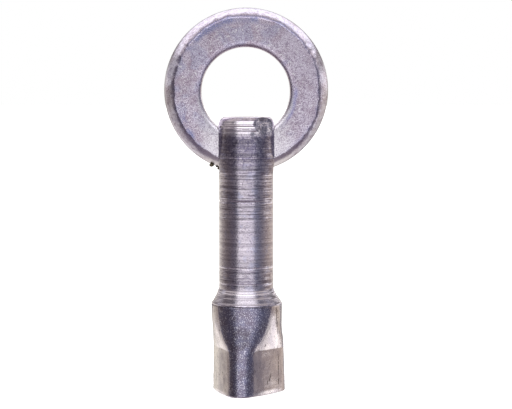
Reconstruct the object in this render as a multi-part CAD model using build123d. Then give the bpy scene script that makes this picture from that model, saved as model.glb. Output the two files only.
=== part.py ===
"""Radiator bleed key: a turned steel shank with a three-sided socket pressed into its lower end,
and a flat washer welded into a slot across its upper end as the finger ring.

Millimetres, +Z up. The origin is on the shank's axis, in the plane of the socket's mouth. The ring
lies in the XZ plane, and -Y is its bevelled front.
"""

import os
from math import cos, radians, sin, sqrt, tan

from build123d import *

# The finger ring, a flat washer with one bevelled face
RING_DIAMETER = 24.0
RING_HOLE_DIAMETER = 12.8
RING_THICKNESS = 2.5
RING_CENTRE_Z = 44.4
RING_HOLE_SHIFT_X = -0.16  # the hole is punched a little off centre
RING_HOLE_SHIFT_Z = -0.25
RING_BEVEL_WIDTH = 1.3  # measured along the face
RING_BEVEL_DEPTH = 1.7  # measured through the thickness
RING_BURR_BREAK = 0.2  # the chamfer of the other edges

# The shank, turned from bar
SHANK_DIAMETER = 7.8
SHANK_TOP_Z = 40.5
SHANK_TOP_BREAK = 0.65
SHOULDER_BASE_Z = 13.15
SHOULDER_BREAK_Z = 14.35  # the cone steepens here
SHOULDER_TOP_Z = 15.1
SHOULDER_BREAK_RADIUS = 4.45
SHOULDER_TOP_RADIUS = 4.12

# The socket: a drilled end, pressed three-sided round a mandrel
HEAD_DIAMETER = 10.4
SOCKET_WALL = 0.9
SOCKET_TURN = 12.0  # degrees from the front to the nearest corner, about Z
FLAT_REACH = 4.2  # the axis to the middle of a pressed flat
FLAT_HALF_ARC = 6.0  # degrees; the pressed flats keep a slight crown
CORNER_REACH_AT_MOUTH = 5.85  # the axis to a corner
CORNER_REACH_AT_CREASE = 5.62
CREASE_Z = 6.6  # the flats are fully pressed up to here
BULGE_TOP_Z = 8.8  # the corners stand out beyond the round up to here
ROUND_FROM_Z = 12.6  # still round from here up, where the drilled bore ends too
FLAT_FADE = 1.72  # how fast the flats fade between the two
RUN_OUT_HALF_ARC = 11.0  # degrees; the flats' crown where they fade
RUN_OUT_SECTIONS = 8
DRILL_POINT_HALF_ANGLE = 59.0
MOUTH_BREAK = 0.15

# The welds behind the ring, and a drop of spatter on its rim
WELD_RADIUS = 0.8
WELD_LEFT_Z = (33.35, 36.7)
WELD_RIGHT_Z = (34.5, 37.3)
SPATTER_RADIUS = 0.31
SPATTER_X = -5.02
SPATTER_Y = 0.5

SHANK_RADIUS = SHANK_DIAMETER / 2
HEAD_RADIUS = HEAD_DIAMETER / 2
RING_RADIUS = RING_DIAMETER / 2
SLOT_FLOOR_Z = RING_CENTRE_Z - RING_RADIUS


def ease(start, end, z):
    """0 at start and 1 at end, smooth at both."""
    share = min(max((z - start) / (end - start), 0.0), 1.0)
    return share * share * (3 - 2 * share)


def flat_reach(z):
    """The distance from the axis to the middle of a flat at height z."""
    share = (ROUND_FROM_Z - max(z, CREASE_Z)) / (ROUND_FROM_Z - CREASE_Z)
    return HEAD_RADIUS - (HEAD_RADIUS - FLAT_REACH) * share**FLAT_FADE


def corner_reach(z):
    """The distance from the axis to a corner at height z."""
    flare = (CORNER_REACH_AT_MOUTH - CORNER_REACH_AT_CREASE) * (1 - min(z / CREASE_Z, 1.0))
    bulge = (CORNER_REACH_AT_CREASE - HEAD_RADIUS) * (1 - ease(CREASE_Z, BULGE_TOP_Z, z))
    return HEAD_RADIUS + bulge + flare


def rim_z(x):
    """The height of the ring's lower rim at x."""
    return RING_CENTRE_Z - sqrt(RING_RADIUS**2 - x**2)


def head_section(inset, z):
    """The head's outline at height z, moved in by inset: three corner arcs and three crowned flats."""
    half_arc = FLAT_HALF_ARC + (RUN_OUT_HALF_ARC - FLAT_HALF_ARC) * ease(CREASE_Z, BULGE_TOP_Z, z)
    stand_out = corner_reach(z) - flat_reach(z)
    arc_centre = stand_out / (cos(radians(60)) - sin(radians(60)) * tan(radians(half_arc / 2)))
    radius = corner_reach(z) - arc_centre - inset
    flat_radius = arc_centre * sin(radians(60)) / sin(radians(half_arc)) + radius
    flat_centre = flat_reach(z) - inset - flat_radius
    arc_end = 60 - half_arc

    def polar(distance, degrees):
        return Vector(distance * cos(radians(degrees)), distance * sin(radians(degrees)), z)

    def spot(centre_distance, centre_angle, arc_radius, arc_angle):
        centre = Vector(
            centre_distance * cos(radians(centre_angle)), centre_distance * sin(radians(centre_angle)), 0
        )
        return centre + polar(arc_radius, arc_angle)

    edges = []
    front = -90 - SOCKET_TURN
    for corner in (front, front + 120, front + 240):
        edges.append(
            Edge.make_three_point_arc(
                spot(arc_centre, corner, radius, corner - arc_end),
                spot(arc_centre, corner, radius, corner),
                spot(arc_centre, corner, radius, corner + arc_end),
            )
        )
        flat = corner + 60
        edges.append(
            Edge.make_three_point_arc(
                spot(arc_centre, corner, radius, corner + arc_end),
                spot(flat_centre, flat, flat_radius, flat),
                spot(arc_centre, corner + 120, radius, corner + 120 - arc_end),
            )
        )
    return Face(Wire(edges))


def pressed_solid(inset):
    """The three-sided stretch and its run-out up to the round, moved in by inset."""
    three_sided = loft([head_section(inset, 0), head_section(inset, CREASE_Z)], ruled=True)
    rise = (ROUND_FROM_Z - CREASE_Z) / RUN_OUT_SECTIONS
    heights = [CREASE_Z + rise * i for i in range(RUN_OUT_SECTIONS + 1)]
    return three_sided + loft([head_section(inset, z) for z in heights])


def turned_solid():
    """The shoulder and the shank, as the lathe leaves them."""
    outline = [
        (0, ROUND_FROM_Z),
        (HEAD_RADIUS, ROUND_FROM_Z),
        (HEAD_RADIUS, SHOULDER_BASE_Z),
        (SHOULDER_BREAK_RADIUS, SHOULDER_BREAK_Z),
        (SHOULDER_TOP_RADIUS, SHOULDER_TOP_Z),
        (SHANK_RADIUS, SHOULDER_TOP_Z),
        (SHANK_RADIUS, SHANK_TOP_Z - SHANK_TOP_BREAK),
        (SHANK_RADIUS - SHANK_TOP_BREAK, SHANK_TOP_Z),
        (0, SHANK_TOP_Z),
    ]
    return revolve(Plane.XZ * make_face(Polyline(*outline, close=True)), Axis.Z)


def drill_point():
    """The cone that the drill leaves above the full bore."""
    radius = HEAD_RADIUS - SOCKET_WALL
    height = radius / tan(radians(DRILL_POINT_HALF_ANGLE))
    base = Pos(0, 0, ROUND_FROM_Z)
    return base * Cone(radius, 0, height, align=(Align.CENTER, Align.CENTER, Align.MIN))


def key_body():
    """The one-piece shank and socket, slotted for the ring."""
    body = pressed_solid(0) + turned_solid()
    body = body - pressed_solid(SOCKET_WALL) - drill_point()
    slot = Pos(0, 0, SLOT_FLOOR_Z) * Box(
        HEAD_DIAMETER,
        RING_THICKNESS,
        SHANK_TOP_Z,
        align=(Align.CENTER, Align.CENTER, Align.MIN),
    )
    body = body - slot
    mouth_edges = body.edges().filter_by_position(Axis.Z, -0.01, 0.01)
    return chamfer(mouth_edges, MOUTH_BREAK)


def ring_washer():
    """The flat washer, with the wide bevel in front and its edges broken behind."""
    half = RING_THICKNESS / 2
    outline = [
        (0, -half),
        (RING_RADIUS - RING_BEVEL_WIDTH, -half),
        (RING_RADIUS, -half + RING_BEVEL_DEPTH),
        (RING_RADIUS, half - RING_BURR_BREAK),
        (RING_RADIUS - RING_BURR_BREAK, half),
        (0, half),
    ]
    disc = revolve(make_face(Polyline(*outline, close=True)), Axis.Y)
    hole_radius = RING_HOLE_DIAMETER / 2
    hole_outline = [
        (0, -half),
        (hole_radius + RING_BURR_BREAK, -half),
        (hole_radius, -half + RING_BURR_BREAK),
        (hole_radius, half),
        (0, half),
    ]
    hole = revolve(make_face(Polyline(*hole_outline, close=True)), Axis.Y)
    washer = disc - Pos(RING_HOLE_SHIFT_X, 0, RING_HOLE_SHIFT_Z) * hole
    return Pos(0, 0, RING_CENTRE_Z) * washer


def weld_bead(side, low_z, high_z):
    """A round-ended bead in the corner between the ring's back and the shank's side."""
    x = side * (SHANK_RADIUS + 0.1)
    y = RING_THICKNESS / 2 + 0.1
    low, high = Pos(x, y, low_z), Pos(x, y, high_z)
    rod = low * Cylinder(WELD_RADIUS, high_z - low_z, align=(Align.CENTER, Align.CENTER, Align.MIN))
    return rod + low * Sphere(WELD_RADIUS) + high * Sphere(WELD_RADIUS)


def spatter_drop():
    """A drop of weld metal that froze on the lower rim."""
    return Pos(SPATTER_X, SPATTER_Y, rim_z(SPATTER_X) - 0.1) * Sphere(SPATTER_RADIUS)


def main():
    os.makedirs("parts", exist_ok=True)
    body = key_body()
    ring = ring_washer()
    parts = {
        "key_body": body,
        "ring_washer": ring,
        "weld_bead_left": weld_bead(-1, *WELD_LEFT_Z) - body - ring,
        "weld_bead_right": weld_bead(1, *WELD_RIGHT_Z) - body - ring,
        "weld_spatter": spatter_drop() - ring,
    }
    for name, shape in parts.items():
        export_step(shape, f"parts/{name}.step")


main()
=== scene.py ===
"""The looks of the radiator bleed key: its detailed meshes and metals, and the studio around it.

Lengths are millimetres until a mesh is made, and angles are degrees. The origin is the middle of the
socket's mouth, +Z runs up the shank, the ring lies in XZ, and -Y is the front.
"""

import itertools

import bpy
import numpy as np
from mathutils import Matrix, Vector


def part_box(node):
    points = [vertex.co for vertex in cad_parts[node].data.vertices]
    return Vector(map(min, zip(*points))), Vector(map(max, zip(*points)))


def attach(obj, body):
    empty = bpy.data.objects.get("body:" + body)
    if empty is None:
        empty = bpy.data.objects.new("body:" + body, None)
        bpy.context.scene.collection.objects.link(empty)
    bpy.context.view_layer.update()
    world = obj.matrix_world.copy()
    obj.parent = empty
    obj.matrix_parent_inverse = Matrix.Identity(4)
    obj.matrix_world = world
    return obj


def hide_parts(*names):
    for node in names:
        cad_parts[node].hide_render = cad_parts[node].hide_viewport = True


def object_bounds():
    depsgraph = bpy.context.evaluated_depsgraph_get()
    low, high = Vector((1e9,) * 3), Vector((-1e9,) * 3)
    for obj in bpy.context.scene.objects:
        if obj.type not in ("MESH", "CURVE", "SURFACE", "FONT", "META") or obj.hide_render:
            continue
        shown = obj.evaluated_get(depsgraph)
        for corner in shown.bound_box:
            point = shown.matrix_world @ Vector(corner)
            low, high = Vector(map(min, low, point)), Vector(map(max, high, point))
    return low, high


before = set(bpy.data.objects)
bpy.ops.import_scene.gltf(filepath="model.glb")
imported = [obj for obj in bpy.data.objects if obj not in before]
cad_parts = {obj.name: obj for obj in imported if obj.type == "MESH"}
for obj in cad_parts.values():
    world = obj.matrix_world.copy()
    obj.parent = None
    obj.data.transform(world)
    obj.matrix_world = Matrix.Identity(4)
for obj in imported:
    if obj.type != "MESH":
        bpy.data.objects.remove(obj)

CAD_LOW, CAD_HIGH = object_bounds()
MM = 0.001

# Sizes read from the frame
RING_LOW, RING_HIGH = (np.array(corner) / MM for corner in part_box("ring_washer"))
RING_RADIUS = (RING_HIGH[0] - RING_LOW[0]) / 2
RING_CENTRE_Z = (RING_HIGH[2] + RING_LOW[2]) / 2
RING_HALF = (RING_HIGH[1] - RING_LOW[1]) / 2
SHANK_TOP_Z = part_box("key_body")[1][2] / MM
SLOT_FLOOR_Z = RING_LOW[2]

# The turned shank and shoulder
SHANK_RADIUS = 3.98
SHOULDER_BASE_Z = 13.15
SHOULDER_TOP_Z = 15.1
SHOULDER_CONE = ((13.35, 14.35, 15.1, 15.5), (5.10, 4.45, 4.14, 4.03))  # heights, and the radius at each
# The rounded upper end, turned in two steps: how far below the top, and how much is turned off there
END_DROPS = (0.0, 0.06, 0.2, 0.42, 0.56, 0.95, 1.1)
END_TURNED_OFF = (0.66, 0.52, 0.36, 0.20, 0.135, 0.01, 0.0)
POLISHED_Z = (18.8, 19.8, 24.6, 26.2)  # where the tool rings are worn faint, by handling

# Tool rings on the shank: height, depth and half width
TOOL_RINGS = (
    (39.42, 0.04, 0.07),
    (39.10, 0.06, 0.14),
    (38.78, 0.04, 0.10),
    (38.36, 0.06, 0.24),
    (36.02, 0.03, 0.10),
    (34.62, 0.035, 0.08),
    (32.15, 0.02, 0.12),
    (31.30, 0.04, 0.14),
    (29.85, 0.03, 0.14),
    (28.25, 0.07, 0.26),
    (26.62, 0.04, 0.14),
    (26.02, 0.03, 0.12),
    (18.62, 0.04, 0.08),
    (18.10, 0.03, 0.10),
    (17.10, 0.03, 0.12),
    (16.20, 0.03, 0.10),
)

# The pressed head
HEAD_RADIUS = 5.2
OUT_OF_LINE = 0.08  # how far the head stands to the right of the shank's axis
SOCKET_WALL = 0.9
SOCKET_TURN = 12.0  # from the front to the nearest corner, which is on its left
FLAT_REACH = 4.2  # from the axis to the middle of a flat
FLAT_HALF_ARC = 9.0  # the flats' crown
CORNER_REACH_AT_MOUTH = 5.85
CORNER_REACH_AT_CREASE = 5.62
CREASE_Z = 6.6  # the flats are fully pressed up to here
BULGE_TOP_Z = 10.2  # the corners stand out beyond the round up to here
ROUND_FROM_Z = 12.6
FLAT_FADE = 1.72  # how fast the flats fade between the crease and the round
RUN_OUT_HALF_ARC = 11.0
SWELL = 0.11  # how far the flats swell out below the crease
SWELL_ENDS_Z = (5.1, 6.8)
LEFT_SPREAD = 0.16  # taken off OUT_OF_LINE on the left, low down, which puts that side further out
BORE_RADIUS = HEAD_RADIUS - SOCKET_WALL
DRILL_POINT_HALF_ANGLE = 59.0
DRILL_POINT_HEIGHT = BORE_RADIUS / np.tan(np.radians(DRILL_POINT_HALF_ANGLE))
LIP_BREAK = 0.16  # the rounding of the mouth's edges

# How far the bar's dark skin reaches to the left and right of each corner's middle, by height
SKIN_HEIGHTS = (0.0, 6.3, 7.2, 7.75, 8.8, 9.9, 13.1)
SKIN_LEFT = (1.42, 1.42, 1.75, 2.10, 2.65, 3.00, 3.43)
SKIN_RIGHT = (2.15, 2.15, 2.42, 2.80, 3.40, 3.75, 4.57)

# The upper end: its beaten facet, its dents (x, z, radius and depth), the burr, and the spread lugs
FACET_AZIMUTH = 40
FACET_ELEVATION = 10
FACET_FOOT_Z = 37.35
DENTS = ((1.15, 38.1, 0.75, 0.10), (0.2, 37.4, 0.5, 0.04), (-1.6, 37.0, 0.6, 0.03))
BURR_Z = 39.08
SLOT_PLAY = 0.02  # on each side of the ring and below it
SPREAD_LEFT = 0.062
SPREAD_RIGHT = 0.09
SPREAD_FULL_Z = 34.5

# The ring
HOLE_RADIUS = 6.47
HOLE_SHIFT = np.array((-0.07, -0.22))
DOME = 0.09  # how far the face falls away from the hole's edge to the bevel
SHEAR = 0.16  # the broken edge behind, at the rim
# Distance from the hole's edge, or from the rim, and the surface's tilt there
HOLE_ROLL = (
    (1.0, 0), (0.85, 2), (0.68, 6), (0.52, 11), (0.38, 17), (0.25, 24), (0.15, 34), (0.08, 50), (0.03, 70),
    (0.0, 84),
)
BEVEL = (
    (1.55, 4), (1.47, 14), (1.40, 27), (1.29, 34), (1.15, 40), (1.02, 47), (0.85, 54), (0.65, 60),
    (0.4, 63), (0.2, 65), (0.06, 69), (0.0, 75),
)
RING_TURNS = 360  # columns round the ring

# The tacks behind the ring, and the drops on its rim: x, y, how far under the rim, size and seed
BEAD_GIRTH = 0.95
ROOT_SIZE = np.array((0.5, RING_HALF - 0.1, 0.42))
DROPS = (
    (-5.08, 0.90, 0.12, (0.34, 0.33, 0.26), 91),
    (-4.32, 0.95, 0.02, (0.16, 0.2, 0.12), 92),
    (-4.02, 0.30, 0.16, (0.2, 0.3, 0.19), 93),
)

# Scratches down the right-hand flat: x at the foot, lean, half width, and the heights each runs between
SCRATCHES = (
    (4.75, 0.0, 0.08, 0.2, 5.8),
    (4.40, 0.0, 0.12, 9.8, 13.0),
    (4.58, 0.01, 0.08, 8.6, 12.6),
    (3.42, 0.16, 0.11, 1.9, 3.3),
    (3.00, 0.30, 0.10, 1.5, 2.3),
)

# The camera, in shares of the key's height: how far right, in front and up it stands, and where it looks
CAMERA_RIGHT = 0.0256
CAMERA_AWAY = 4.4593
CAMERA_UP = 0.8091
AIM_UP = 0.4906
LENS = 121.0

COLUMNS = 180  # round the key's body, a multiple of three
SHARP_EDGE = 35  # edges that turn by more than this stay sharp
WELD_SHARP_EDGE = 60


# ---------------------------------------------------------------- numbers


def ease(start, end, value):
    """0 at start and 1 at end, smooth at both."""
    share = np.clip((value - start) / (end - start), 0.0, 1.0)
    return share * share * (3 - 2 * share)


def bump(value, middle, half_width):
    """1 at the middle and 0 from half_width away, smooth between."""
    return 1 - ease(0, half_width, np.abs(value - middle))


def between(value, rise_from, rise_to, fall_from, fall_to):
    """1 between the middle two heights and 0 outside the outer two, smooth between."""
    return ease(rise_from, rise_to, value) * (1 - ease(fall_from, fall_to, value))


def noise(points, size, seed):
    """Smooth noise from -1 to 1 at each point, with lumps about size across."""
    table = np.random.default_rng(seed).uniform(-1, 1, 4096)
    scaled = points / size
    cell = np.floor(scaled).astype(np.int64)
    part = scaled - cell
    part = part * part * (3 - 2 * part)
    total = np.zeros(len(points))
    for corner in itertools.product((0, 1), repeat=3):
        x, y, z = (cell + corner).T
        weight = np.prod(np.where(np.array(corner) == 1, part, 1 - part), axis=1)
        total += weight * table[(x * 73856093 ^ y * 19349663 ^ z * 83492791) % len(table)]
    return total


def direction(azimuth, elevation=0.0):
    """The unit vector that points azimuth to the right of the front, and elevation up."""
    a, e = np.radians(azimuth), np.radians(elevation)
    return np.stack((np.sin(a) * np.cos(e), -np.cos(a) * np.cos(e), np.sin(e) + 0 * a))


# ---------------------------------------------------------------- meshes


def piece(name, points, faces, stands_for, sharp=SHARP_EDGE):
    """Makes a smooth-shaded object from points in millimetres, with edges sharper than sharp kept."""
    mesh = bpy.data.meshes.new(name)
    mesh.from_pydata([tuple(p) for p in np.asarray(points) * MM], [], faces)
    made = bpy.data.objects.new(name, mesh)
    bpy.context.collection.objects.link(made)
    smooth(mesh, sharp)
    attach(made, "root")
    for node in stands_for:
        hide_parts(node)
    return made


def smooth(mesh, sharp):
    mesh.polygons.foreach_set("use_smooth", [True] * len(mesh.polygons))
    mesh.set_sharp_from_angle(angle=np.radians(sharp))
    mesh.update()


def vertices(mesh):
    """The mesh's points, in millimetres."""
    flat = np.empty(len(mesh.vertices) * 3)
    mesh.vertices.foreach_get("co", flat)
    return flat.reshape(-1, 3) / MM


def give(mesh, name, values):
    """Stores one number for each of the mesh's points, for its material to read."""
    layer = mesh.attributes.new(name, "FLOAT", "POINT")
    layer.data.foreach_set("value", np.asarray(values, dtype=np.float32))


def skin(rows, first=None, last=None, looped=False):
    """Points and faces of a closed skin over rows of points, with a tip at each open end."""
    count, wide = len(rows), len(rows[0])
    points = list(np.concatenate(rows))
    faces = []
    for i in range(count if looped else count - 1):
        low, high = i * wide, (i + 1) % count * wide
        for j in range(wide):
            k = (j + 1) % wide
            faces.append((low + j, low + k, high + k, high + j))
    if not looped:
        top = (count - 1) * wide
        points += [first, last]
        for j in range(wide):
            k = (j + 1) % wide
            faces.append((len(points) - 2, k, j))
            faces.append((len(points) - 1, top + j, top + k))
    return points, faces


# ---------------------------------------------------------------- the key's body


def head_outline(z, inset):
    """The pressed head's outline at height z, moved in by inset, as points and their normals."""
    share = (ROUND_FROM_Z - np.clip(z, CREASE_Z, ROUND_FROM_Z)) / (ROUND_FROM_Z - CREASE_Z)
    flat_reach = HEAD_RADIUS - (HEAD_RADIUS - FLAT_REACH) * share**FLAT_FADE
    flare = (CORNER_REACH_AT_MOUTH - CORNER_REACH_AT_CREASE) * (1 - min(z / CREASE_Z, 1.0))
    fade = ease(CREASE_Z, BULGE_TOP_Z, z)
    corner_reach = HEAD_RADIUS + (CORNER_REACH_AT_CREASE - HEAD_RADIUS) * (1 - fade) + flare
    half_arc = FLAT_HALF_ARC + (RUN_OUT_HALF_ARC - FLAT_HALF_ARC) * fade
    slant = np.cos(np.radians(60)) - np.sin(np.radians(60)) * np.tan(np.radians(half_arc / 2))
    arc_centre = (corner_reach - flat_reach) / slant
    radius = corner_reach - arc_centre - inset
    flat_radius = arc_centre * np.sin(np.radians(60)) / np.sin(np.radians(half_arc)) + radius
    flat_centre = flat_reach - inset - flat_radius
    arc_end = 60 - half_arc

    third, part = np.divmod(np.arange(COLUMNS) * 3 / COLUMNS, 1)
    corner = -SOCKET_TURN + 120 * third
    corner_length = radius * np.radians(2 * arc_end)
    flat_length = flat_radius * np.radians(2 * half_arc)
    along = part * (corner_length + flat_length) - corner_length / 2
    on_flat = along > corner_length / 2
    past_corner = along - corner_length / 2
    facing = np.where(
        on_flat,
        corner + arc_end + np.degrees(past_corner / flat_radius),
        corner + np.degrees(along / radius),
    )
    centre_at = np.where(on_flat, corner + 60, corner)
    centre = direction(centre_at) * np.where(on_flat, flat_centre, arc_centre)
    normals = direction(facing)
    points = centre + normals * np.where(on_flat, flat_radius, radius)
    return np.column_stack((points[0], points[1], np.full(COLUMNS, z))), normals.T


def round_outline(z, radius):
    """The outline of a turned row, with its points and normals in the head's own order."""
    facing = -SOCKET_TURN + 360 * np.arange(COLUMNS) / COLUMNS
    normals = direction(facing)
    points = normals * radius
    return np.column_stack((points[0], points[1], np.full(COLUMNS, z))), normals.T


def shank_radius(z):
    """The shank's turned radius, with its tool rings and the faint waviness of the cut."""
    radius = SHANK_RADIUS
    for middle, depth, half_width in TOOL_RINGS:
        radius -= depth * bump(z, middle, half_width)
        radius += 0.3 * depth * bump(z, middle + 1.3 * half_width, 0.6 * half_width)
    at = np.array(((z, 0.0, 0.0),))
    radius += 0.018 * banding(z) * noise(at, 0.36, 3)[0] + 0.006 * noise(at, 1.3, 4)[0]
    return radius


def banding(z):
    """How strong the tool rings are: weak where the shank has been polished in the hand."""
    return 1 - 0.85 * ease(*POLISHED_Z[:2], z) * (1 - ease(*POLISHED_Z[2:], z))


def end_radius(z):
    """The radius at height z of the rounded upper end."""
    return SHANK_RADIUS - np.interp(SHANK_TOP_Z - z, END_DROPS, END_TURNED_OFF)


def shoulder_profile():
    """Height and radius up the shoulder, turned in small steps: a land, then a tread set back."""
    draw = np.random.default_rng(12)
    profile = [(SHOULDER_BASE_Z, HEAD_RADIUS), (SHOULDER_BASE_Z + 0.12, 5.18)]
    z = SHOULDER_BASE_Z + 0.28
    profile.append((z, 5.09))
    while z < SHOULDER_TOP_Z + 0.1:
        land = draw.uniform(0.12, 0.26)
        radius, after = np.interp((z + 0.5 * land, z + 1.5 * land), *SHOULDER_CONE)
        lean = draw.uniform(0.12, 0.24) * land
        profile += [(z + 0.004, radius + lean), (z + 0.5 * land, radius), (z + land, radius - lean)]
        z += land
    return profile + [(z + 0.02, SHANK_RADIUS)]


def socket_rows():
    """The rows from the drill point down the socket and round the mouth's lip to the outside."""
    rows = []
    for share in np.linspace(0.08, 0.95, 8):
        rows.append(round_outline(ROUND_FROM_Z + DRILL_POINT_HEIGHT * (1 - share), BORE_RADIUS * share)[0])
    for z in np.linspace(ROUND_FROM_Z, LIP_BREAK, 30):
        rows.append(head_outline(z, SOCKET_WALL)[0])
    for turn in np.radians((30, 60, 90)):
        z = LIP_BREAK * (1 - np.sin(turn))
        rows.append(head_outline(z, SOCKET_WALL - LIP_BREAK * (1 - np.cos(turn)))[0])
    for inset in np.linspace(SOCKET_WALL - LIP_BREAK, LIP_BREAK, 5)[1:-1]:
        rows.append(head_outline(0.0, inset)[0])
    for turn in np.radians((0, 25, 50, 75)):
        rows.append(head_outline(LIP_BREAK * (1 - np.cos(turn)), LIP_BREAK * (1 - np.sin(turn)))[0])
    return rows


def body_rows():
    """Every row of the body's skin, from the drill point down the socket and up the outside."""
    rows = socket_rows()
    for z in np.arange(LIP_BREAK, SHOULDER_BASE_Z - 0.05, 0.11):
        rows.append(head_surface(z))
    shoulder = shoulder_profile()
    for z, radius in shoulder:
        rows.append(turned_surface(z, radius))
    for z in np.arange(shoulder[-1][0] + 0.05, SHANK_TOP_Z - END_DROPS[-1], 0.1):
        rows.append(turned_surface(z, shank_radius(z)))
    for drop in np.linspace(END_DROPS[-1], 0.0, 26):
        z = SHANK_TOP_Z - drop
        rows.append(turned_surface(z, end_radius(z) + shank_radius(z) - SHANK_RADIUS))
    for radius in (2.9, 2.4, 1.8, 1.2, 0.6):
        rows.append(round_outline(SHANK_TOP_Z, radius)[0])
    return rows


def head_surface(z):
    """One row round the outside of the head, with the unevenness of the pressing."""
    points, normals = head_outline(z, 0.0)
    settled = between(z, 0.0, 1.0, 11.5, 12.8)
    points[:, 2] += 0.22 * settled * noise(points * (1, 1, 0.4), 2.6, 21)
    facing = np.degrees(np.arctan2(normals[:, 0], -normals[:, 1]))
    on_flat = bump((facing + SOCKET_TURN) % 120, 60, 14)
    swell = SWELL * on_flat * (1 - ease(*SWELL_ENDS_Z, z)) * (0.7 + 0.3 * ease(0.2, 3.0, z))
    wave = 0.020 * noise(points, 2.2, 22) + 0.008 * noise(points, 0.7, 23) + 0.004 * noise(points, 0.3, 24)
    wave += swell
    points[:, 0] += OUT_OF_LINE - LEFT_SPREAD * (1 - ease(6.0, 9.0, z)) * ease(-2, -4, points[:, 0])
    return points + normals * (wave * ease(0.0, 0.6, z) * (1 - ease(ROUND_FROM_Z, 13.1, z)))[:, None]


def turned_surface(z, radius):
    """One row round the turned part, a little out of true."""
    points, normals = round_outline(z, radius)
    wave = 0.006 * noise(points, 1.6, 31) + 0.003 * noise(points * (1, 1, 4), 0.8, 32)
    points[:, 0] += OUT_OF_LINE * (1 - ease(SHOULDER_BASE_Z + 0.3, SHOULDER_TOP_Z, z))
    return points + normals * wave[:, None]


def flatten(points, azimuth, elevation, foot_z, roughness, seed):
    """Beats the shank flat past a plane that meets it at foot_z, and raises a burr round the flat.

    Gives the moved points, and how far each was driven in.
    """
    facing = direction(azimuth, elevation)
    foot = direction(azimuth) * SHANK_RADIUS + (0, 0, foot_z)
    outside = (points - foot) @ facing + roughness * noise(points, 0.2, seed)
    outside += 4 * roughness * noise(points, 0.7, seed + 1)
    near = (points @ direction(azimuth) > 0) & (points[:, 2] > foot_z - 1)
    cut = np.where(near, np.maximum(outside, 0), 0)
    burr = np.where(near, 0.035 * bump(outside, -0.02, 0.06), 0)
    return points - np.outer(cut - burr, facing), cut


def batter(points):
    """The knocks on the upper end of the shank, and how far each point was beaten in by the facet."""
    points, cut = flatten(points, FACET_AZIMUTH, FACET_ELEVATION, FACET_FOOT_Z, 0.016, 41)
    dent = np.zeros(len(points))
    for x, z, radius, depth in DENTS:
        away = np.hypot(points[:, 0] - x, points[:, 2] - z)
        dent += depth * bump(away, 0, radius) * (points[:, 1] < 0)
    dent -= 0.15 * bump(points[:, 2], BURR_Z, 0.28) * ease(-2.9, -3.5, points[:, 0])
    out = points * (1, 1, 0) / np.maximum(np.hypot(points[:, 0], points[:, 1]), 0.5)[:, None]
    return points - out * dent[:, None], cut


def make_body():
    drill_tip = (0, 0, ROUND_FROM_Z + DRILL_POINT_HEIGHT)
    points, faces = skin(body_rows(), drill_tip, (0, 0, SHANK_TOP_Z))
    points, beaten = batter(np.array(points))
    body = piece("turned_body", points, faces, ["key_body"])
    give(body.data, "beaten", np.clip(beaten / 0.05, 0, 1))
    cut_slot(body)
    mark_zones(body.data)
    return body


def cut_slot(body):
    """Saws the slot that the ring stands in, a hair wider than the ring."""
    half = RING_HALF + SLOT_PLAY
    low, high = (-6, -half, SLOT_FLOOR_Z - SLOT_PLAY), (6, half, SHANK_TOP_Z + 2)
    corners = list(itertools.product(*zip(low, high)))
    sides = [(0, 1, 3, 2), (4, 6, 7, 5), (0, 4, 5, 1), (2, 3, 7, 6), (0, 2, 6, 4), (1, 5, 7, 3)]
    mesh = bpy.data.meshes.new("saw")
    mesh.from_pydata([tuple(np.array(c) * MM) for c in corners], [], sides)
    saw = bpy.data.objects.new("saw", mesh)
    bpy.context.collection.objects.link(saw)
    cut = body.modifiers.new("slot", "BOOLEAN")
    cut.operation, cut.solver, cut.object = "DIFFERENCE", "MANIFOLD", saw
    shaped = body.evaluated_get(bpy.context.evaluated_depsgraph_get())
    body.data = bpy.data.meshes.new_from_object(shaped)
    body.modifiers.clear()
    body.data.materials.clear()
    spread(body.data)
    bpy.data.objects.remove(saw)
    smooth(body.data, SHARP_EDGE)


def spread(mesh):
    """Hammering the end down has widened both halves beside the slot, more on the right."""
    points = vertices(mesh)
    x, y, z = points.T
    wider = np.where(x > 0, SPREAD_RIGHT, SPREAD_LEFT) * (0.6 + 0.4 * ease(SLOT_FLOOR_Z, SPREAD_FULL_Z, z))
    beside = (np.abs(y) > RING_HALF) & (z > SLOT_FLOOR_Z - 0.03)
    points[:, 0] *= 1 + wider * beside
    mesh.vertices.foreach_set("co", (points * MM).ravel())
    mesh.update()


def inside_skin(points):
    """How far each point is inside the nearest corner's dark skin, negative outside it."""
    height = points[:, 2] + 0.25 * noise(points, 1.5, 52)
    best = np.full(len(points), -9.0)
    for corner in (-SOCKET_TURN, 120 - SOCKET_TURN, 240 - SOCKET_TURN):
        across = points @ direction(corner + 90)
        left = across + np.interp(height, SKIN_HEIGHTS, SKIN_LEFT)
        right = np.interp(height, SKIN_HEIGHTS, SKIN_RIGHT) - across
        depth = np.minimum(left, right)
        best = np.where(points @ direction(corner) > 0, np.maximum(best, depth), best)
    return best + 0.08 * noise(points, 0.5, 53)


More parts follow.
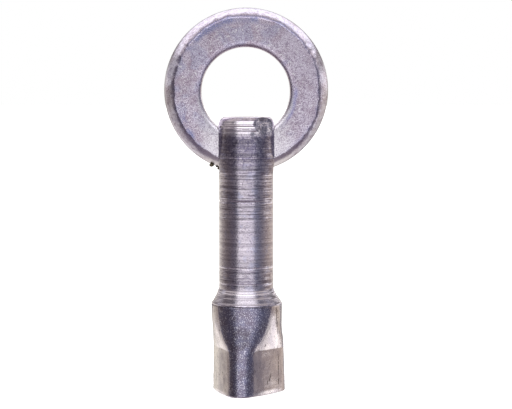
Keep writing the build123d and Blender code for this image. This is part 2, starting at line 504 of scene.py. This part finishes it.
def mark_zones(mesh):
    """Stores, for the steel's material, where the body's surface is of each kind, and where the painted
    highlight and the painted shade on the treads go.
    """
    points = vertices(mesh)
    x, y, z = points.T
    normals = np.empty(len(points) * 3)
    mesh.vertices.foreach_get("normal", normals)
    normals = normals.reshape(-1, 3)
    outward = (normals[:, 0] * x + normals[:, 1] * y) > 0
    on_head = (1 - ease(SHOULDER_BASE_Z - 0.1, SHOULDER_BASE_Z + 0.05, z)) * ease(0.0, 0.35, z) * outward
    skinned = ease(-0.12, 0.12, inside_skin(points))
    give(mesh, "mill", on_head * skinned)
    give(mesh, "pressed", on_head * (1 - skinned))
    inside = (z < ROUND_FROM_Z + 3) & ~outward
    give(mesh, "bore", inside.astype(float))
    give(mesh, "sawn", ((np.abs(y) < RING_HALF + 0.04) & (z > SLOT_FLOOR_Z - 0.1)).astype(float))
    give(mesh, "dim", between(z, 31.5, 35.0, 37.4, 38.2))
    on_shoulder = between(z, 13.3, 13.4, SHOULDER_TOP_Z + 0.3, SHOULDER_TOP_Z + 0.6)
    # Painted shade: the shoulder's upward-facing treads are darkened, standing in for the shadow between the
    # steps
    give(mesh, "painted_tread_shade", on_shoulder * ease(0.50, 0.72, normals[:, 2]) * outward)
    # Painted highlight: the front-facing shoulder and upper end are made nearly white, standing in for the
    # light they reflect
    highlit_end = between(z, 37.9, 38.2, 39.9, 40.0)
    in_front = ease(0.25, 0.75, -normals[:, 1])
    give(mesh, "painted_highlight", outward * in_front * np.maximum(on_shoulder, highlit_end))
    give(mesh, "rings", banding(z) * (z > SHOULDER_BASE_Z))


# ---------------------------------------------------------------- the ring


def slope_profile(steps, depth):
    """Distance and depth along a curve that is given by its tilt at each distance, from a first depth."""
    before, tilt_before = steps[0]
    profile = [(before, depth)]
    for distance, tilt in steps[1:]:
        depth += (before - distance) * np.tan(np.radians((tilt + tilt_before) / 2))
        profile.append((distance, depth))
        before, tilt_before = distance, tilt
    return profile


def ring_section():
    """Radius from the local centre, y, and how far from hole (0) to rim (1), round the section."""
    front, back = -RING_HALF, RING_HALF
    # The hole's edge in front, drawn in by the punch
    roll = slope_profile(HOLE_ROLL, 0.0)
    section = [(HOLE_RADIUS + out, front + fall, 0.0) for out, fall in reversed(roll)]
    # The face, slightly domed
    first, last = HOLE_RADIUS + HOLE_ROLL[0][0], RING_RADIUS - BEVEL[0][0]
    for s in np.linspace(0, 1, 26)[1:-1]:
        section.append((first + (last - first) * s, front + DOME * s * s, s))
    # The bevelled edge: it starts gently and steepens to the rim
    section += [(RING_RADIUS - inside, y, 1.0) for inside, y in slope_profile(BEVEL, front + DOME)]
    # The rim, and the sheared edge behind
    rim_y = section[-1][1]
    section.append((RING_RADIUS, (rim_y + back - SHEAR) / 2, 1.0))
    section.append((RING_RADIUS, back - SHEAR, 1.0))
    section.append((RING_RADIUS - 0.05, back - 0.05, 1.0))
    section.append((RING_RADIUS - SHEAR, back, 1.0))
    # The back, and the wall of the hole
    for s in np.linspace(0, 1, 18)[1:-1]:
        section.append((RING_RADIUS - SHEAR + (HOLE_RADIUS + 0.2 - RING_RADIUS + SHEAR) * s, back, 1 - s))
    section.append((HOLE_RADIUS + 0.12, back, 0.0))
    section.append((HOLE_RADIUS + 0.03, back - 0.04, 0.0))
    for y in np.linspace(back - 0.12, front + 0.75, 8):
        section.append((HOLE_RADIUS, y, 0.0))
    return section


def ring_skin():
    """The ring's smooth surface: its section carried round, about the hole's centre or the rim's."""
    turns = np.linspace(0, 2 * np.pi, RING_TURNS, endpoint=False)
    rows = []
    for radius, y, share in ring_section():
        centre_x, centre_z = HOLE_SHIFT * (1 - share)
        x = centre_x + radius * np.cos(turns)
        z = RING_CENTRE_Z + centre_z + radius * np.sin(turns)
        rows.append(np.column_stack((x, np.full(len(turns), y), z)))
    points, faces = skin(rows, looped=True)
    return np.array(points), faces


def wear_ring(points, from_axis):
    """Moves the ring's points: the bevel's uneven start in and out, and the faces' dints inwards."""
    edge = ease(RING_RADIUS - 1.9, RING_RADIUS - 1.2, from_axis)
    edge *= 1 - ease(RING_RADIUS - 0.3, RING_RADIUS, from_axis)
    on_face = (1 - ease(RING_RADIUS - 0.3, RING_RADIUS - 0.02, from_axis)) * np.abs(points[:, 1]) / RING_HALF
    wave = 0.014 * noise(points, 3.5, 61) + 0.007 * noise(points, 1.1, 62) + 0.007 * noise(points, 0.45, 63)
    wave += edge * (0.05 * noise(points, 2.4, 64) + 0.03 * noise(points, 0.6, 65))
    brow = bump(from_axis, RING_RADIUS - 1.2, 1.3) * (points[:, 1] < 0)
    flat_points = points * (1, 0, 1)
    shift = 0.10 * noise(flat_points, 3.0, 67) + 0.09 * noise(flat_points, 0.9, 68)
    across = points[:, 0] / RING_RADIUS
    shift += 0.06 * noise(flat_points, 0.35, 69) + 0.13 + 0.12 * across - 0.25 * across**2
    shift += 0.12 * ease(0, -6, points[:, 2] - RING_CENTRE_Z) * ease(0, 5, points[:, 0])
    outward = (points - (0, 0, RING_CENTRE_Z)) * (1, 0, 1) / from_axis[:, None]
    points += outward * (shift * brow)[:, None]
    points[:, 1] += np.sign(-points[:, 1]) * (np.abs(wave) * 0.6 + wave * 0.4).clip(-0.03, 0.08) * on_face


def mark_ring(mesh, points, from_axis):
    """Stores, for the zinc's material, where the ring is bevelled, stained and blued, where its rim gets a
    painted dark outline, and where a painted reflection makes it paler.
    """
    x, height = points[:, 0], points[:, 2] - RING_CENTRE_Z
    give(mesh, "bevel", ease(RING_RADIUS - 1.3, RING_RADIUS - 0.9, from_axis) * (points[:, 1] < 0.9))
    # Painted shade: a thin dark outline along the outer rim
    give(mesh, "rim", ease(RING_RADIUS - 0.16, RING_RADIUS - 0.03, from_axis))
    stain = bump(from_axis, RING_RADIUS - 1.75, 0.9) * ease(-0.3, 0.4, noise(points * (1, 0, 1), 1.4, 70))
    stain *= ease(1.0, -3.0, x - 0.5 * height)
    crease = bump(from_axis, RING_RADIUS - 1.33, 0.26) * ease(4.0, 8.0, height)
    blotchy = 0.5 + 0.5 * noise(points, 1.1, 72)
    sides = bump(from_axis, RING_RADIUS - 1.3, 0.75) * ease(6.0, -1.0, height)
    crease = np.maximum(crease, 0.75 * sides * blotchy)
    give(mesh, "stained", np.maximum(stain, 0.9 * crease))
    # Painted reflection: paler beside the shank, low on the face, and on the lower edge of the hole,
    # standing in for light thrown off the shank and from above
    beside = 1 - ease(4.6, 7.6, np.abs(x) + 0.7 * noise(points, 1.0, 66))
    from_hole = np.hypot(x - HOLE_SHIFT[0], height - HOLE_SHIFT[1])
    inner = bump(from_hole, HOLE_RADIUS + 0.75, 0.6) * bump(height, -2.0, 4.5)
    give(mesh, "blued", inner * ease(3.0, 5.0, x) * blotchy)
    lip = (1 - ease(HOLE_RADIUS + 0.5, HOLE_RADIUS + 0.9, from_hole)) * (1 - ease(41.0, 44.5, points[:, 2]))
    give(mesh, "painted_reflection", np.maximum(lip, beside * (1 - ease(38.5, 41.5, points[:, 2]))))


def make_ring():
    points, faces = ring_skin()
    from_axis = np.hypot(points[:, 0], points[:, 2] - RING_CENTRE_Z)
    wear_ring(points, from_axis)
    ring = piece("washer_ring", points, faces, ["ring_washer"], sharp=50)
    mark_ring(ring.data, points, from_axis)
    return ring


# ---------------------------------------------------------------- the welds


def lump(centre, size, seed):
    """A frozen drop of weld metal: a ball, squashed to size and made uneven."""
    across, up, rough = 40, 22, 0.12
    rows = []
    for tilt in np.linspace(-90, 90, up)[1:-1]:
        rows.append(direction(np.arange(across) * 360 / across, tilt).T)
    points, faces = skin(rows, (0, 0, -1), (0, 0, 1))
    points = np.array(points)
    swell = 1 + rough * noise(points + seed * 3.1, 0.8, seed) + rough / 2 * noise(points + seed, 0.35, seed)
    return points * swell[:, None] * size + centre, faces


def make_bead(name, node, side, low_z, high_z, seed):
    """A tack weld: a rippled bead up the corner behind the ring, and a separate root in the slot below."""
    around, rows = 48, []
    x = side * (SHANK_RADIUS - 0.15)
    y = RING_HALF - 0.05
    turn = np.linspace(0, 2 * np.pi, around, endpoint=False)
    for s in np.linspace(0.015, 0.985, 70):
        ripple = 1 + 0.07 * np.abs(np.sin(s * 26)) ** 0.5
        girth = BEAD_GIRTH * np.sqrt(1 - abs(2 * s - 1) ** 2.6) * ripple
        z = low_z + (high_z - low_z) * s + 0.12 * np.cos(turn - np.pi / 2)
        rows.append(np.column_stack((x + 0.95 * girth * np.cos(turn), y + 0.8 * girth * np.sin(turn), z)))
    points, faces = skin(rows, (x, y, low_z), (x, y, high_z))
    points = np.array(points)
    points += np.column_stack([0.05 * noise(points, 0.6, seed + i) for i in range(3)])
    root_x = side * (SHANK_RADIUS - 0.62)
    root = np.array((root_x, 0.1, rim_z(root_x) - 0.34))
    more, more_faces = lump(root, ROOT_SIZE, seed + 5)
    faces += [tuple(i + len(points) for i in face) for face in more_faces]
    return piece(name, np.concatenate((points, more)), faces, [node], sharp=WELD_SHARP_EDGE)


def make_welds():
    welds = [
        make_bead("weld_run_left", "weld_bead_left", -1, 33.0, 37.0, 71),
        make_bead("weld_run_right", "weld_bead_right", 1, 34.0, 37.6, 81),
    ]
    points, faces = [], []
    for x, y, sunk, size, seed in DROPS:
        more, more_faces = lump(np.array((x, y, rim_z(x) - sunk)), np.array(size), seed)
        faces += [tuple(i + len(points) for i in face) for face in more_faces]
        points += list(more)
    drops = piece("weld_drops", points, faces, ["weld_spatter"], sharp=WELD_SHARP_EDGE)
    welds.append(drops)
    return welds


def rim_z(x):
    """The height of the ring's lower rim at x."""
    return RING_CENTRE_Z - np.sqrt(RING_RADIUS**2 - x**2)


# ---------------------------------------------------------------- materials


class Nodes:
    """Adds and links the nodes of a material or of the world."""

    def __init__(self, tree):
        self.tree = tree
        tree.nodes.clear()

    def add(self, kind, **inputs):
        """A new node with these inputs, whose names have underscores for their spaces."""
        node = self.tree.nodes.new(kind)
        for name, value in inputs.items():
            self.put(node, name.replace("_", " "), value)
        return node

    def put(self, node, socket, value):
        target = node.inputs[socket]
        if isinstance(value, bpy.types.NodeSocket):
            self.tree.links.new(value, target)
        else:
            target.default_value = value

    def math(self, operation, a, b=0.0):
        node = self.tree.nodes.new("ShaderNodeMath")
        node.operation = operation
        self.put(node, 0, a)
        self.put(node, 1, b)
        return node.outputs[0]

    def blend(self, share, a, b):
        """The colour a where share is 0 and b where it is 1."""
        node = self.tree.nodes.new("ShaderNodeMix")
        node.data_type = "RGBA"
        self.put(node, 0, share)
        self.put(node, 6, a)
        self.put(node, 7, b)
        return node.outputs[2]

    def remap(self, value, low, high, to_low=0.0, to_high=1.0):
        node = self.tree.nodes.new("ShaderNodeMapRange")
        node.interpolation_type = "SMOOTHSTEP"
        for i, number in enumerate((value, low, high, to_low, to_high)):
            self.put(node, i, number)
        return node.outputs[0]

    def place(self, stretch=(1, 1, 1)):
        """The point's own place on the object in millimetres, stretched."""
        coordinates = self.tree.nodes.new("ShaderNodeTexCoord").outputs["Object"]
        mapping = self.tree.nodes.new("ShaderNodeMapping")
        self.put(mapping, "Vector", coordinates)
        self.put(mapping, "Scale", tuple(s / MM for s in stretch))
        return mapping.outputs[0]

    def noise(self, scale, stretch=(1, 1, 1), detail=2.0, roughness=0.5, distortion=0.0):
        """Noise from 0 to 1 with scale lumps to the millimetre."""
        node = self.tree.nodes.new("ShaderNodeTexNoise")
        self.put(node, "Vector", self.place(stretch))
        self.put(node, "Scale", scale)
        self.put(node, "Detail", detail)
        self.put(node, "Roughness", roughness)
        self.put(node, "Distortion", distortion)
        return node.outputs["Fac"]

    def marks(self, lines):
        """1 on thin upright lines across the front: x at the foot, lean, half width and two heights each."""
        split = self.tree.nodes.new("ShaderNodeSeparateXYZ")
        self.put(split, 0, self.place())
        x, y, z = split.outputs
        wobble = self.math("MULTIPLY", self.noise(1.3, (1, 1, 1)), 0.25)
        gaps = self.remap(self.noise(2.2, (0.5, 1, 1), 3.0, 0.7), 0.38, 0.50)
        total = 0.0
        for foot, lean, half, low, high in lines:
            up = self.math("SUBTRACT", z, low)
            along = self.math("ADD", foot - 0.125, self.math("MULTIPLY", up, lean))
            away = self.math("ABSOLUTE", self.math("SUBTRACT", self.math("SUBTRACT", x, wobble), along))
            line = self.math("MULTIPLY", self.remap(away, half, 0.3 * half), self.remap(z, low, low + 0.3))
            line = self.math("MULTIPLY", line, self.remap(z, high, high - 0.3))
            total = self.math("MAXIMUM", total, line)
        return self.math("MULTIPLY", self.math("MULTIPLY", total, gaps), self.remap(y, 0.3, -0.3))

    def stored(self, name):
        node = self.tree.nodes.new("ShaderNodeAttribute")
        node.attribute_name = name
        return node.outputs["Fac"]

    def bump(self, height, distance, normal=None):
        """A bump of height 0 to 1 times distance millimetres."""
        node = self.tree.nodes.new("ShaderNodeBump")
        self.put(node, "Height", height)
        self.put(node, "Distance", distance * MM)
        self.put(node, "Strength", 1.0)
        if normal is not None:
            self.put(node, "Normal", normal)
        return node.outputs[0]


def metal(name):
    made = bpy.data.materials.new(name)
    made.use_nodes = True
    nodes = Nodes(made.node_tree)
    shader = nodes.tree.nodes.new("ShaderNodeBsdfPrincipled")
    shader.inputs["Metallic"].default_value = 1.0
    out = nodes.tree.nodes.new("ShaderNodeOutputMaterial")
    nodes.tree.links.new(shader.outputs[0], out.inputs["Surface"])
    return made, nodes, shader


def turned_colour(n, fine, grain):
    """Rings of different brightness, a grain, blue and violet stains, a dim stretch by the ring, a painted
    highlight on the front of the shoulder and the upper end, and painted shade on the shoulder's treads.
    """
    rings, dim = n.stored("rings"), n.stored("dim")
    coarse = n.noise(1.7, (0.012, 0.012, 1), 3.0, 0.6)
    broken = n.noise(1.1, (1, 1, 2.5), 2.0, 0.6)
    blotch = n.noise(0.9, (1, 1, 1), 2.0, 0.6)
    turned = n.blend(n.remap(coarse, 0.3, 0.7), (0.58, 0.53, 0.60, 1), (0.96, 0.89, 0.98, 1))
    dull = n.math("MULTIPLY", n.remap(fine, 0.56, 0.42, 0, 0.7), n.remap(broken, 0.35, 0.6))
    turned = n.blend(n.math("MULTIPLY", dull, rings), turned, (0.22, 0.19, 0.26, 1))
    turned = n.blend(n.remap(grain, 0.47, 0.30, 0, 0.75), turned, (0.34, 0.28, 0.38, 1))
    turned = n.blend(n.remap(blotch, 0.52, 0.68, 0, 0.35), turned, (0.62, 0.64, 0.86, 1))
    darker = n.math("MULTIPLY", dim, n.remap(broken, 0.62, 0.42, 0.15, 0.75))
    turned = n.blend(darker, turned, (0.30, 0.27, 0.37, 1))
    spots = n.noise(3.0, (1.3, 1.3, 1), 2.0, 0.6)
    spotted = n.math("MULTIPLY", dim, n.remap(spots, 0.50, 0.60, 0, 0.7))
    turned = n.blend(spotted, turned, (0.17, 0.15, 0.26, 1))
    # Painted highlight: nearly white on the front of the shoulder and of the upper end
    painted_highlight = n.math("MULTIPLY", n.stored("painted_highlight"), n.remap(broken, 0.35, 0.6, 0.25, 0.65))
    turned = n.blend(painted_highlight, turned, (1.0, 0.95, 1.0, 1))
    # Painted shade: darker on the shoulder's treads
    return n.blend(n.math("MULTIPLY", n.stored("painted_tread_shade"), 0.75), turned, (0.20, 0.18, 0.22, 1))


def skin_colour(n, speck):
    """The bar's dark skin: bluish, with fine bright specks."""
    dark = n.blend(n.remap(n.noise(0.8), 0.35, 0.65), (0.285, 0.25, 0.33, 1), (0.33, 0.32, 0.45, 1))
    return n.blend(n.remap(speck, 0.54, 0.70), dark, (0.92, 0.90, 1.0, 1))


def flats_colour(n, pits, grain):
    """The pressed flats: a little warmer, with streaks, pits, smears and scratches."""
    smear = n.noise(0.75, (1, 1, 0.6), 2.0, 0.6)
    warm = n.blend(n.remap(smear, 0.3, 0.7), (0.72, 0.66, 0.73, 1), (1.0, 0.92, 0.95, 1))
    streak = n.noise(3.0, (1, 1, 0.07), 2.0, 0.6)
    warm = n.blend(n.remap(streak, 0.54, 0.72, 0, 0.32), warm, (0.46, 0.42, 0.45, 1))
    warm = n.blend(n.remap(pits, 0.44, 0.30, 0, 0.85), warm, (0.26, 0.22, 0.24, 1))
    warm = n.blend(n.remap(grain, 0.45, 0.30, 0, 0.4), warm, (0.45, 0.40, 0.44, 1))
    return n.blend(n.math("MULTIPLY", n.marks(SCRATCHES), 0.85), warm, (0.10, 0.08, 0.08, 1))


def steel():
    """Turned bright steel, with the bar's dark skin on the head's corners and burnished flats."""
    made, n, shader = metal("turned steel")
    mill, pressed, bore, beaten = (n.stored(s) for s in ("mill", "pressed", "bore", "beaten"))
    sawn, rings = n.stored("sawn"), n.stored("rings")
    fine = n.noise(6.5, (0.012, 0.012, 1), 2.0, 0.6)
    grain = n.noise(5.5, (1, 1, 1), 1.0, 0.5)
    speck = n.noise(7.5, (1, 1, 0.75), 1.0, 0.5)
    pits = n.noise(2.4, (1, 1, 0.7), 3.0, 0.7)
    colour = n.blend(mill, turned_colour(n, fine, grain), skin_colour(n, speck))
    colour = n.blend(pressed, colour, flats_colour(n, pits, grain))
    beaten = n.math("MULTIPLY", beaten, n.remap(grain, 0.56, 0.44, 0.0, 0.6))
    colour = n.blend(beaten, colour, (0.24, 0.23, 0.30, 1))
    colour = n.blend(sawn, colour, (0.30, 0.27, 0.28, 1))
    colour = n.blend(bore, colour, (0.22, 0.20, 0.21, 1))
    n.put(shader, "Base Color", colour)
    # The tool rings vary in gloss, the flats are smoother, and the socket and the slot are rougher
    rough = n.math("MULTIPLY", n.remap(fine, 0.3, 0.7, -0.05, 0.05), n.math("GREATER_THAN", rings, 0.01))
    rough = n.math("ADD", n.math("ADD", rough, 0.20), n.math("MULTIPLY", mill, 0.02))
    rough = n.math("ADD", rough, n.math("MULTIPLY", pressed, -0.05))
    rough = n.math("ADD", rough, n.math("MULTIPLY", n.math("MAXIMUM", bore, sawn), 0.3))
    n.put(shader, "Roughness", rough)
    lines = n.bump(n.math("MULTIPLY", fine, rings), 0.013)
    peened = n.bump(n.math("MULTIPLY", speck, mill), 0.022, normal=lines)
    pitted = n.math("MULTIPLY", n.math("SUBTRACT", 0, n.remap(pits, 0.42, 0.24)), pressed)
    worn = n.bump(pitted, 0.012, normal=peened)
    n.put(shader, "Normal", n.bump(grain, 0.012, normal=worn))
    return made


def zinc():
    """Mottled pale lilac zinc plate, brighter on the bevel and stained blue in places, with a painted dark
    outline at the rim and a painted reflection beside the shank and on the hole's lower edge.
    """
    made, n, shader = metal("zinc plate")
    mottle = n.noise(6.0, (1, 1, 1), 2.0, 0.6)
    patch = n.noise(0.42, (1, 1, 1), 2.0, 0.5)
    blue = n.noise(0.30, (1, 1, 1), 1.0, 0.5, 0.6)
    scuff = n.noise(1.3, (1, 1, 1), 3.0, 0.75)
    colour = n.blend(n.remap(patch, 0.35, 0.65), (0.56, 0.47, 0.56, 1), (0.75, 0.68, 0.80, 1))
    blot = n.noise(1.6, (1, 1, 1), 3.0, 0.7, 0.4)
    colour = n.blend(n.remap(blot, 0.46, 0.34, 0, 0.6), colour, (0.30, 0.25, 0.34, 1))
    colour = n.blend(n.remap(blue, 0.55, 0.66, 0, 0.6), colour, (0.52, 0.52, 0.70, 1))
    colour = n.blend(n.remap(mottle, 0.50, 0.34, 0, 0.8), colour, (0.30, 0.22, 0.32, 1))
    colour = n.blend(n.remap(mottle, 0.53, 0.70, 0, 0.85), colour, (0.95, 0.92, 1.0, 1))
    colour = n.blend(n.remap(scuff, 0.61, 0.70, 0, 0.85), colour, (0.98, 0.96, 1.0, 1))
    worn = n.remap(scuff, 0.38, 0.62, 0.05, 0.8)
    colour = n.blend(n.math("MULTIPLY", n.stored("bevel"), worn), colour, (0.88, 0.86, 1.0, 1))
    stained = n.math("MULTIPLY", n.stored("stained"), n.remap(mottle, 0.7, 0.45, 0.3, 1.0))
    colour = n.blend(stained, colour, (0.30, 0.31, 0.52, 1))
    colour = n.blend(n.stored("blued"), colour, (0.40, 0.44, 0.85, 1))
    # Painted reflection: paler beside the shank and on the lower edge of the hole
    painted_reflection = n.math("MULTIPLY", n.stored("painted_reflection"), n.remap(mottle, 0.36, 0.56, 0.35, 0.95))
    colour = n.blend(painted_reflection, colour, (0.98, 0.95, 1.0, 1))
    # Painted shade: the dark outline along the rim
    colour = n.blend(n.math("MULTIPLY", n.stored("rim"), 0.6), colour, (0.16, 0.15, 0.15, 1))
    n.put(shader, "Base Color", colour)
    n.put(shader, "Roughness", n.remap(mottle, 0.3, 0.7, 0.34, 0.22))
    n.put(shader, "Normal", n.bump(mottle, 0.02))
    return made


def weld_metal():
    """Dark olive-brown oxidised weld metal."""
    made, n, shader = metal("weld metal")
    scale = n.noise(2.2, (1, 1, 1), 3.0, 0.6)
    colour = n.blend(n.remap(scale, 0.35, 0.65), (0.14, 0.115, 0.07, 1), (0.42, 0.38, 0.29, 1))
    n.put(shader, "Base Color", colour)
    n.put(shader, "Roughness", n.remap(scale, 0.3, 0.7, 0.55, 0.32))
    n.put(shader, "Normal", n.bump(scale, 0.03))
    return made


# ---------------------------------------------------------------- the studio


FLOOR_REACH = 3.0  # metres

# What the metal reflects, as azimuth and colour, in four belts of height; what lies overhead and
# below is in make_world. Level with the key: a strip of light in front, dark beside it, pale behind.
LEVEL = (
    (-180, (0.80, 0.76, 0.66)),
    (-142, (0.72, 0.69, 0.60)),
    (-114, (0.32, 0.285, 0.26)),
    (-90, (0.15, 0.125, 0.12)),
    (-60, (0.12, 0.105, 0.125)),
    (-41, (0.19, 0.18, 0.21)),
    (-28, (1.14, 1.12, 1.15)),
    (0, (1.12, 1.10, 1.13)),
    (27, (1.06, 1.05, 1.13)),
    (42, (0.28, 0.29, 0.36)),
    (62, (0.18, 0.18, 0.22)),
    (92, (0.30, 0.26, 0.25)),
    (117, (0.50, 0.43, 0.37)),
    (146, (0.70, 0.64, 0.56)),
    (180, (0.80, 0.76, 0.66)),
)
# Below the level: white card beside the key, which the run-outs of the flats face
LOWERED = (
    (-180, (1.05, 1.02, 0.96)),
    (-140, (1.05, 1.02, 0.96)),
    (-126, (0.55, 0.51, 0.48)),
    (-108, (0.58, 0.55, 0.53)),
    (-86, (0.16, 0.14, 0.15)),
    (-41, (0.19, 0.18, 0.21)),
    (-28, (0.55, 0.53, 0.57)),
    (27, (0.55, 0.53, 0.59)),
    (42, (0.28, 0.29, 0.36)),
    (86, (0.22, 0.21, 0.23)),
    (99, (1.15, 1.12, 1.08)),
    (116, (1.25, 1.22, 1.18)),
    (126, (0.50, 0.47, 0.44)),
    (180, (0.90, 0.87, 0.82)),
)
# Just above the level, beside and behind
RAISED = (
    (-180, (0.90, 0.86, 0.80)),
    (-135, (0.90, 0.86, 0.80)),
    (-108, (0.70, 0.67, 0.66)),
    (-88, (0.15, 0.135, 0.15)),
    (60, (0.20, 0.19, 0.22)),
    (80, (0.24, 0.22, 0.24)),
    (91, (1.3, 1.26, 1.22)),
    (180, (1.2, 1.16, 1.12)),
)
# Higher: a brighter strip in front, between dark cloths
HIGH = (
    (-180, (0.50, 0.46, 0.44)),
    (-150, (0.22, 0.20, 0.19)),
    (-133, (0.22, 0.20, 0.19)),
    (-121, (0.42, 0.40, 0.39)),
    (-100, (0.42, 0.39, 0.39)),
    (-86, (0.15, 0.13, 0.14)),
    (-47, (0.16, 0.15, 0.18)),
    (-31, (1.75, 1.72, 1.75)),
    (28, (1.70, 1.68, 1.74)),
    (45, (0.22, 0.22, 0.28)),
    (70, (0.20, 0.20, 0.25)),
    (84, (0.42, 0.42, 0.50)),
    (98, (0.36, 0.34, 0.36)),
    (112, (0.26, 0.25, 0.26)),
    (128, (0.18, 0.16, 0.15)),
    (150, (0.24, 0.20, 0.17)),
    (180, (0.50, 0.46, 0.44)),
)
# Where each belt takes over from the one before, by the z of the direction's unit vector
RAISED_FROM = (-0.02, 0.07)
HIGH_FROM = (0.25, 0.40)
OVERHEAD_FROM = (0.52, 0.68)
LOWERED_FROM = (-0.24, -0.36)
BELOW_FROM = (-0.44, -0.58)
# Added to z beside and behind the key, so that three of the belts start nearer the level there
HIGH_MOVED = 0.14
OVERHEAD_MOVED = 0.18
LOWERED_MOVED = -0.06
SIDE_FROM = (-0.6, -0.3)  # the front ends and the sides begin here, by the y of the unit vector
HOOD_FROM = (-0.10, -0.02)
HOOD_FRONT = (-0.5, -0.8)
HOOD_DIMS = 0.60


def make_floor():
    """A plain white floor, which the metal doesn't reflect."""
    mesh = bpy.data.meshes.new("floor")
    corners = ((-1, -1), (1, -1), (1, 1), (-1, 1))
    points = [(x * FLOOR_REACH, y * FLOOR_REACH, CAD_LOW.z) for x, y in corners]
    mesh.from_pydata(points, [], [(0, 1, 2, 3)])
    floor = bpy.data.objects.new("floor", mesh)
    bpy.context.collection.objects.link(floor)
    floor.visible_glossy = False
    made = bpy.data.materials.new("white floor")
    made.use_nodes = True
    n = Nodes(made.node_tree)
    shader = n.add("ShaderNodeBsdfPrincipled", Base_Color=(0.8, 0.8, 0.8, 1), Roughness=0.9,
                   Emission_Color=(1, 1, 1, 1), Emission_Strength=0.85)
    out = n.add("ShaderNodeOutputMaterial")
    n.tree.links.new(shader.outputs[0], out.inputs["Surface"])
    mesh.materials.append(made)


def ramp(n, share, stops):
    """The colour at share (0 to 1 of the way round) along stops given by azimuth."""
    node = n.tree.nodes.new("ShaderNodeValToRGB")
    n.put(node, 0, share)
    ends = node.color_ramp.elements
    while len(ends) < len(stops):
        ends.new(0.5)
    for end, (azimuth, colour) in zip(ends, stops):
        end.position = 0.5 + azimuth / 360
        end.color = (*colour, 1)
    return node.outputs[0]


def make_world():
    """The studio's surroundings: what the metal reflects in each direction, and white for the camera."""
    world = bpy.data.worlds.new("studio")
    bpy.context.scene.world = world
    world.use_nodes = True
    n = Nodes(world.node_tree)
    towards = n.tree.nodes.new("ShaderNodeTexCoord").outputs["Generated"]
    split = n.tree.nodes.new("ShaderNodeSeparateXYZ")
    n.put(split, 0, towards)
    x, y, z = split.outputs
    azimuth = n.math("ARCTAN2", x, n.math("MULTIPLY", y, -1.0))
    share = n.math("ADD", n.math("DIVIDE", azimuth, 2 * np.pi), 0.5)
    level, lowered, raised, high = (ramp(n, share, stops) for stops in (LEVEL, LOWERED, RAISED, HIGH))
    overhead = n.blend(n.remap(y, -0.66, -0.46), (1.1, 1.08, 1.1, 1), (0.66, 0.61, 0.60, 1))
    overhead = n.blend(n.remap(y, 0.12, 0.36), overhead, (1.40, 1.37, 1.40, 1))
    below = n.blend(n.remap(y, 0.25, 0.75), (0.24, 0.20, 0.23, 1), (0.85, 0.80, 0.74, 1))
    # In front, what lies above the middle is dimmer than what lies below it
    hood = n.math("MULTIPLY", n.remap(z, *HOOD_FROM), n.remap(y, *HOOD_FRONT))
    level = n.blend(n.math("MULTIPLY", hood, HOOD_DIMS), level, (0.0, 0.0, 0.0, 1))
    side = n.remap(y, *SIDE_FROM)
    seen = n.blend(n.math("MULTIPLY", n.remap(z, *RAISED_FROM), side), level, raised)
    for belt, starts, moved in (
        (high, HIGH_FROM, HIGH_MOVED),
        (overhead, OVERHEAD_FROM, OVERHEAD_MOVED),
        (lowered, LOWERED_FROM, LOWERED_MOVED),
    ):
        height = n.math("ADD", z, n.math("MULTIPLY", side, moved))
        seen = n.blend(n.remap(height, *starts), seen, belt)
    seen = n.blend(n.remap(z, *BELOW_FROM), seen, below)
    to_camera = n.tree.nodes.new("ShaderNodeLightPath").outputs["Is Camera Ray"]
    seen = n.blend(to_camera, seen, (1, 1, 1, 1))
    background = n.add("ShaderNodeBackground", Color=seen, Strength=1.0)
    out = n.add("ShaderNodeOutputWorld")
    n.tree.links.new(background.outputs[0], out.inputs["Surface"])


def make_light():
    """A soft overhead light for the floor."""
    light = bpy.data.lights.new("overhead", "AREA")
    light.shape, light.size, light.energy = "DISK", 0.5, 1.2
    lamp = bpy.data.objects.new("overhead", light)
    lamp.location = (0, 0, 0.6)
    lamp.visible_glossy = False
    bpy.context.collection.objects.link(lamp)


def make_camera():
    """In front, about level with the ring's middle, looking slightly down at the middle of the key."""
    data = bpy.data.cameras.new("camera")
    data.sensor_width, data.lens = 36, LENS
    camera = bpy.data.objects.new("camera", data)
    tall = CAD_HIGH.z - CAD_LOW.z
    camera.location = Vector((CAMERA_RIGHT, -CAMERA_AWAY, CAMERA_UP)) * tall
    aim = Vector((CAMERA_RIGHT, 0, AIM_UP)) * tall
    camera.rotation_euler = (aim - camera.location).to_track_quat("-Z", "Y").to_euler()
    bpy.context.collection.objects.link(camera)
    bpy.context.scene.camera = camera


make_camera()
make_world()
make_light()
make_floor()
make_body().data.materials.append(steel())
make_ring().data.materials.append(zinc())
weld_look = weld_metal()
for weld in make_welds():
    weld.data.materials.append(weld_look)
bpy.context.scene.view_settings.view_transform = "Standard"
